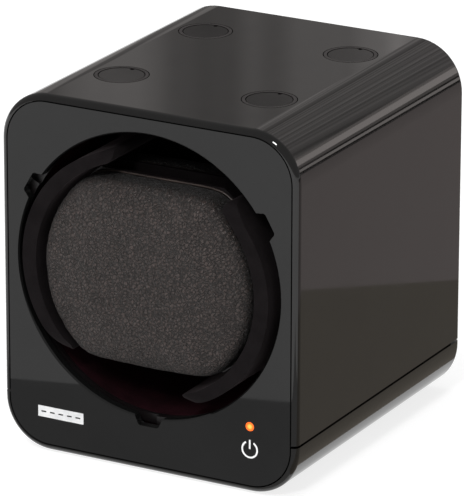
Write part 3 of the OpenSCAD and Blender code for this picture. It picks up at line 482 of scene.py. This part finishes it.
def drillPinHoles(pad, plateY, settings):
    # the guide pins sink into the foam when the cushion is squeezed
    pinLow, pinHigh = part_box(settings["pinNode"])
    springLow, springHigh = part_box(settings["springNode"])
    middleZ = (pinLow.z + pinHigh.z) / 2
    pinX = springHigh.x - (springHigh.z - springLow.z) / 2
    drill = bmesh.new()
    for side in (-1, 1):
        made = bmesh.ops.create_cone(drill, cap_ends=True, segments=32, radius1=settings["pinHole"] * mm,
                                     radius2=settings["pinHole"] * mm, depth=2 * settings["pinSink"] * mm)
        bmesh.ops.rotate(drill, verts=made["verts"], matrix=Quaternion((1, 0, 0), math.pi / 2).to_matrix())
        bmesh.ops.translate(drill, verts=made["verts"], vec=(side * pinX, plateY, middleZ))
    data = bpy.data.meshes.new("pinDrill")
    drill.to_mesh(data)
    drill.free()
    tool = bpy.data.objects.new("pinDrill", data)
    scene.collection.objects.link(tool)
    cut = pad.modifiers.new("pinHoles", "BOOLEAN")
    cut.operation = "DIFFERENCE"
    cut.solver = "EXACT"
    cut.object = tool
    bakeModifiers(pad)
    bpy.data.objects.remove(tool)


def weltLine(name, plateY, forward, settings, low, high):
    # the thin rolled edge where the leather is glued down to its plate
    data = bpy.data.curves.new("welt_" + name, "CURVE")
    data.dimensions = "3D"
    data.bevel_depth = settings["weltRadius"] * mm
    data.bevel_resolution = 4
    line = data.splines.new("POLY")
    line.points.add(settings["around"] - 1)
    line.use_cyclic_u = True
    middle = (low + high) / 2
    for step in range(settings["around"]):
        angle = 2 * math.pi * step / settings["around"]
        reach = padOutline(angle, (high.x - low.x) / 2, (high.z - low.z) / 2, settings["squareness"])
        reach -= (settings["weltRadius"] + settings["weltInset"]) * mm
        line.points[step].co = (middle.x + reach * math.cos(angle),
                                plateY + forward * settings["weltRadius"] * settings["weltLift"] * mm,
                                middle.z + reach * math.sin(angle), 1.0)
    welt = bpy.data.objects.new("welt_" + name, data)
    welt.data.materials.append(finishes["welt"])
    scene.collection.objects.link(welt)
    return welt


for padName in cushion["nodes"]:
    padLow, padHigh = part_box(padName)
    pad, plateY, forward = stuffedPad(padName, cushion)
    fillPad(pad, plateY, cushion)
    wrinklePad(pad, plateY, cushion, padLow, padHigh)
    if "rear" in padName:
        drillPinHoles(pad, plateY, cushion)
    pad.data.materials.clear()
    pad.data.materials.append(finishes["leather"])
    for face in pad.data.polygons:
        face.use_smooth = True
    finer = pad.modifiers.new("smoothSkin", "SUBSURF")
    finer.levels = 1
    finer.render_levels = 1
    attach(pad, "cushion_front" if "front" in padName else "cushion")
    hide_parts(padName)
    welt = weltLine(padName, plateY, forward, cushion, padLow, padHigh)
    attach(welt, "cushion_front" if "front" in padName else "cushion")
    print("pad filled:", padName, len(pad.data.vertices), "points")


# Springs between the cushion's two halves, which close up when it is squeezed

springs = {"node": "cushion_springs", "wire": 0.8, "turns": 5, "perTurn": 28, "travel": 5.0}


def coilSprings(settings):
    low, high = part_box(settings["node"])
    outer = (high.z - low.z) / 2
    reach = outer - settings["wire"] / 2 * mm
    length = high.y - low.y - settings["wire"] * mm
    data = bpy.data.curves.new("coiledSprings", "CURVE")
    data.dimensions = "3D"
    data.bevel_depth = settings["wire"] / 2 * mm
    data.bevel_resolution = 3
    data.use_fill_caps = True
    count = settings["turns"] * settings["perTurn"] + 1
    for middleX in (low.x + outer, high.x - outer):
        coil = data.splines.new("POLY")
        coil.points.add(count - 1)
        for step in range(count):
            angle = 2 * math.pi * step / settings["perTurn"]
            depth = low.y + settings["wire"] / 2 * mm + length * step / (count - 1)
            coil.points[step].co = (middleX + reach * math.cos(angle), depth,
                                    (low.z + high.z) / 2 + reach * math.sin(angle), 1.0)
    data.materials.append(finishes["steel"])
    wire = bpy.data.objects.new("springWire", data)
    scene.collection.objects.link(wire)
    shown = wire.evaluated_get(bpy.context.evaluated_depsgraph_get())
    made = bpy.data.objects.new("coiledSprings", bpy.data.meshes.new_from_object(shown))
    scene.collection.objects.link(made)
    bpy.data.objects.remove(wire)
    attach(made, "cushion")
    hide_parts(settings["node"])
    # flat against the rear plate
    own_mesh(made)


coilSprings(springs)
print("springs coiled")


# Camera

camera = {"azimuth": 28.812, "elevation": 19.231, "roll": 0.129, "distance": 1.6553, "lens": 366.9,
          "sensor": 36, "aim": (-0.22, 0.0, -1.27)}  # the aim is in millimetres from the case's middle


def placeCamera(settings):
    azimuth = math.radians(settings["azimuth"])
    elevation = math.radians(settings["elevation"])
    back = Vector((math.sin(azimuth) * math.cos(elevation), -math.cos(azimuth) * math.cos(elevation),
                   math.sin(elevation)))
    data = bpy.data.cameras.new("studioCamera")
    data.lens = settings["lens"]
    data.sensor_width = settings["sensor"]
    made = bpy.data.objects.new("studioCamera", data)
    made.rotation_mode = "QUATERNION"
    aim = caseMiddle + Vector(settings["aim"]) * mm
    made.location = aim + back * settings["distance"]
    turn = Quaternion((0, 0, 1), math.radians(settings["roll"]))
    made.rotation_quaternion = (-back).to_track_quat("-Z", "Y") @ turn
    scene.collection.objects.link(made)
    scene.camera = made


placeCamera(camera)
print("camera placed")


# Studio: white sweep, big soft lights, and cards that only reflections see

def flatCard(name, corners, finish, reflectionOnly=False):
    mesh = bmesh.new()
    mesh.faces.new([mesh.verts.new(c) for c in corners])
    data = bpy.data.meshes.new(name)
    mesh.to_mesh(data)
    mesh.free()
    card = bpy.data.objects.new(name, data)
    card.data.materials.append(finish)
    scene.collection.objects.link(card)
    if reflectionOnly:
        card.visible_camera = False
        card.visible_diffuse = False
        card.visible_shadow = False
        card.visible_transmission = False
    return card


def glowing(name, hexCode, strength):
    finish = bpy.data.materials.new(name)
    finish.use_nodes = True
    tree = finish.node_tree
    tree.nodes.clear()
    glow = addNode(tree, "ShaderNodeEmission", {"Color": linearColour(hexCode), "Strength": strength})
    addNode(tree, "ShaderNodeOutputMaterial", links={"Surface": glow.outputs[0]})
    return finish


def softBox(name, settings):
    data = bpy.data.lights.new(name, "AREA")
    data.shape = "RECTANGLE"
    data.size, data.size_y = settings["size"]
    data.energy = settings["power"]
    lamp = bpy.data.objects.new(name, data)
    lamp.location = settings["place"]
    lamp.rotation_mode = "QUATERNION"
    turn = Quaternion((0, 0, 1), math.radians(settings["roll"]))
    sight = Vector(settings["aim"]) - Vector(settings["place"])
    lamp.rotation_quaternion = sight.to_track_quat("-Z", "Y") @ turn
    lamp.visible_glossy = settings["mirrored"]
    scene.collection.objects.link(lamp)


# metres, apart from the two lifts off the table, which are millimetres
studio = {"floorHalf": 6.0, "floorGlow": 0.8, "roomLight": 0.36, "floorGap": 0.05, "cardLift": 0.4}
# paper sweep: it glows a little, as a lit sweep does, so that shadows stay faint
sweep = bpy.data.materials.new("paleSweepPaper")
sweep.use_nodes = True
paper = sweep.node_tree.nodes["Principled BSDF"]
paper.inputs["Base Color"].default_value = linearColour("#9a9a9a")
paper.inputs["Roughness"].default_value = 0.9
paper.inputs["Specular IOR Level"].default_value = 0.0
paper.inputs["Emission Color"].default_value = linearColour("#ffffff")
paper.inputs["Emission Strength"].default_value = studio["floorGlow"]
# from below the paper is clear, so that the feet and the underside can be seen
under = addNode(sweep.node_tree, "ShaderNodeNewGeometry").outputs["Backfacing"]
clear = addNode(sweep.node_tree, "ShaderNodeBsdfTransparent").outputs[0]
both = addNode(sweep.node_tree, "ShaderNodeMixShader", links={0: under, 1: paper.outputs[0], 2: clear})
sweep.node_tree.links.new(both.outputs[0], sweep.node_tree.nodes["Material Output"].inputs["Surface"])
half = studio["floorHalf"]
floorZ = -studio["floorGap"] * mm
flatCard("sweepFloor", [(-half, -half, floorZ), (half, -half, floorZ), (half, half, floorZ),
                        (-half, half, floorZ)], sweep)

world = bpy.data.worlds.new("studioRoom")
world.use_nodes = True
world.node_tree.nodes["Background"].inputs["Color"].default_value = linearColour("#ffffff")
# the backdrop looks as pale as the sweep, while the room lights the winder only softly
seen = addNode(world.node_tree, "ShaderNodeLightPath").outputs["Is Camera Ray"]
world.node_tree.links.new(spread(world.node_tree, seen, studio["roomLight"], 1.0, 0.0, 1.0),
                          world.node_tree.nodes["Background"].inputs["Strength"])
scene.world = world

lamps = {
    "overheadBox": {"place": (-0.3, -0.5, 2.0), "aim": (0, 0, 0), "size": (2.0, 2.0), "power": 34,
                    "mirrored": False, "roll": 0},
    "leftBox": {"place": (-1.9, -1.2, 1.1), "aim": (0, 0, 0.05), "size": (1.4, 1.4), "power": 9,
                "mirrored": False, "roll": 0},
    # a narrow strip that the round upper corner of the rim mirrors as a small spark
    "cornerSpark": {"place": (0.28, -1.48, 1.34), "aim": (0.045, -0.054, 0.118), "size": (0.2, 0.55),
                    "power": 14, "mirrored": True, "roll": -30}}
for name, settings in lamps.items():
    softBox(name, settings)


def floorCard(name, points, hexCode, strength, layer=1):  # points in millimetres on the table
    lift = studio["cardLift"] * layer * mm
    corners = [(x * mm, y * mm, lift) for x, y in points]
    flatCard(name, corners, glowing(name, hexCode, strength), True)


# a grey table edge in front, and a dimmer table beside and behind, as the gloss sides show them
floorCard("frontTableCard", [(-260, -39), (-77, -103), (9, -133), (160, -186), (160, -57), (-260, -57)],
          "#ffffff", 0.5)
floorCard("sideRoomCard", [(56, -70), (780, -70), (780, 1470), (56, 1470)], "#fff1ee", 0.5)
floorCard("sideTableCard", [(56, -70), (235, -70), (200, 74.8), (148.5, 118.3), (107, 153.4), (56, 196.6)],
          "#fff3e2", 0.33, 2)
# a dark strip further out, which only the long round edge shows
floorCard("farStripCard", [(780, -70), (1600, -70), (1600, 1470), (780, 1470)], "#fff1ee", 0.08)


# stops are places across the screen in metres, and how bright it is there
screen = {"y": 1.5, "half": 1.6, "foot": 0.002, "top": 1.9, "streakSize": 80, "streakShare": 0.32,
          "stops": [(-1.6, 0.3), (-0.92, 0.32), (-0.8, 0.25), (-0.74, 0.25), (-0.7, 0.62), (-0.64, 0.42),
                    (-0.5, 0.3), (-0.3, 0.42), (0.0, 0.5), (0.2, 0.54), (0.45, 0.58), (0.7, 0.5),
                    (0.9, 0.42), (1.6, 0.4)]}


def roomScreen(name, settings):
    # upright screen behind the winder: tall pale and dim panels that the top and its round edge mirror
    half = settings["half"]
    finish = bpy.data.materials.new(name)
    finish.use_nodes = True
    tree = finish.node_tree
    tree.nodes.clear()
    place = addNode(tree, "ShaderNodeTexCoord").outputs["Object"]
    across = addNode(tree, "ShaderNodeSeparateXYZ", links={0: place}).outputs[0]
    share = spread(tree, across, 0.0, 1.0, -half, half)
    ramp = addNode(tree, "ShaderNodeValToRGB", links={"Fac": share})
    ramp.color_ramp.elements.remove(ramp.color_ramp.elements[1])
    for number, (x, grey) in enumerate(settings["stops"]):
        position = (x + half) / (2 * half)
        stop = ramp.color_ramp.elements[0] if number == 0 else ramp.color_ramp.elements.new(position)
        stop.position = position
        stop.color = (grey, grey * 0.95, grey * 0.93, 1.0)  # a little warm
    wave = ripple(tree, place, settings["streakSize"], 2.0, (1, 0, 0))
    streakShare = settings["streakShare"]
    streak = spread(tree, wave, 1 - streakShare, 1 + streakShare, 0.42, 0.58)
    glow = addNode(tree, "ShaderNodeEmission", links={"Color": ramp.outputs[0], "Strength": streak})
    addNode(tree, "ShaderNodeOutputMaterial", links={"Surface": glow.outputs[0]})
    uprightCard(name, settings["y"], (-half, half), (settings["foot"], settings["top"]), finish)


def uprightCard(name, y, xRange, zRange, finish):
    left, right = xRange
    foot, top = zRange
    flatCard(name, [(left, y, foot), (right, y, foot), (right, y, top), (left, y, top)], finish, True)


roomScreen("roomScreen", screen)
# low bands in front of it: the lines that run the length of the round edge, from the table upwards
# each one is its lowest and highest millimetre and how bright it is
lowBands = {"y": 1.48, "across": (0.7, 1.6), "warmWhite": "#fff6f2",
            "bands": [(3, 70, 0.06), (70, 165, 1.2), (165, 225, 0.08), (225, 320, 0.5), (320, 520, 1.7),
                      (520, 600, 0.8)]}
for low, high, strength in lowBands["bands"]:
    name = "lowBand" + str(low)
    uprightCard(name, lowBands["y"], lowBands["across"], (low * mm, high * mm),
                glowing(name, lowBands["warmWhite"], strength))
scene.view_settings.view_transform = "Standard"
print("studio set")
